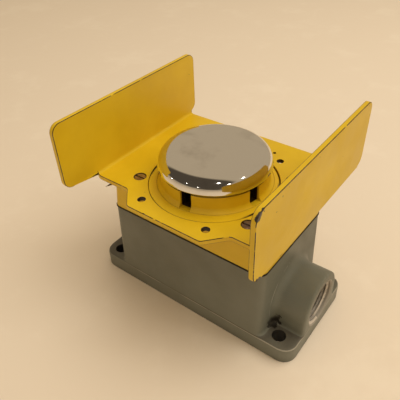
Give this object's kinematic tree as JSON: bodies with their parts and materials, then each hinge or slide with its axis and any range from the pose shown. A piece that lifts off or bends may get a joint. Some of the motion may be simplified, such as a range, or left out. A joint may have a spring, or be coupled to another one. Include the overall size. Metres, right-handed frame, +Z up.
{
  "type": "guarded palm push-button control",
  "caption": "Cast box with feet and a threaded conduit hub, a slotted collar, a winged sheet guard and a chromed mushroom head that presses an enclosed double-break contact block.",
  "frame": {"origin": "centre of the four foot holes, on the mounting face", "axes": "+X along the box towards the conduit hub, +Y across it away from the guard's front tab, +Z up out of the mounting face"},
  "size_m": [0.1411, 0.1152, 0.1191],
  "materials": {
    "cast_grey": "semi-gloss warm grey paint over a sand-cast surface",
    "gasket": "matte",
    "yellow_cover": "gloss yellow paint over a casting",
    "yellow_sheet": "gloss yellow paint over steel sheet, chipped along its edges",
    "plain_steel": "dull plain steel",
    "zinc_steel": "satin zinc plate",
    "ground_steel": "ground and bright",
    "spring_steel": "oiled wire",
    "bronze": "machined bearing bronze",
    "brass": "satin brass",
    "silver": "satin silver contact metal",
    "chrome": "polished chromium plate",
    "seal_rubber": "matte",
    "black_moulding": "moulded phenolic",
    "brown_moulding": "moulded phenolic",
    "red_moulding": "moulded phenolic",
    "green_screw": "green dyed steel"
  },
  "bodies": {
    "enclosure": {"base_box": "cast_grey", "cover_gasket": "gasket", "cover": "yellow_cover", "guard_plate": "yellow_sheet", "cover_screws": "plain_steel", "guide_bushing": "bronze", "bushing_nut": "zinc_steel", "stem_seal": "seal_rubber", "return_spring": "spring_steel", "switch_bracket": "zinc_steel", "bracket_screws": "zinc_steel", "contact_block_base": "black_moulding", "contact_block_cover": "brown_moulding", "block_screws": "zinc_steel", "fixed_contacts": "brass", "fixed_contact_tips": "silver", "terminal_clamps": "zinc_steel", "terminal_screws": "brass", "carrier_spring": "spring_steel", "ground_screw": "green_screw"},
    "plunger": {"mushroom_cap": "chrome", "cap_boss": "plain_steel", "stem_locknut": "zinc_steel", "plunger_stem": "ground_steel", "stem_clip": "spring_steel"},
    "carrier": {"contact_carrier": "red_moulding", "contact_bridges": "brass", "moving_contact_tips": "silver"}
  },
  "joints": [
    {"name": "palm_press", "type": "slide", "parent": "enclosure", "child": "plunger", "axis": [0, 0, -1], "range_m": [0, 0.005], "stiffness_N_per_m": 2500, "springref_m": -0.006, "deforming": ["return_spring"]},
    {"name": "carrier_slide", "type": "slide", "parent": "enclosure", "child": "carrier", "axis": [0, 0, -1], "range_m": [0, 0.005], "stiffness_N_per_m": 300, "springref_m": -0.004, "deforming": ["carrier_spring"]}
  ],
  "couplings": [
    {"joint": "carrier_slide", "follows": "palm_press", "ratio": 1}
  ]
}
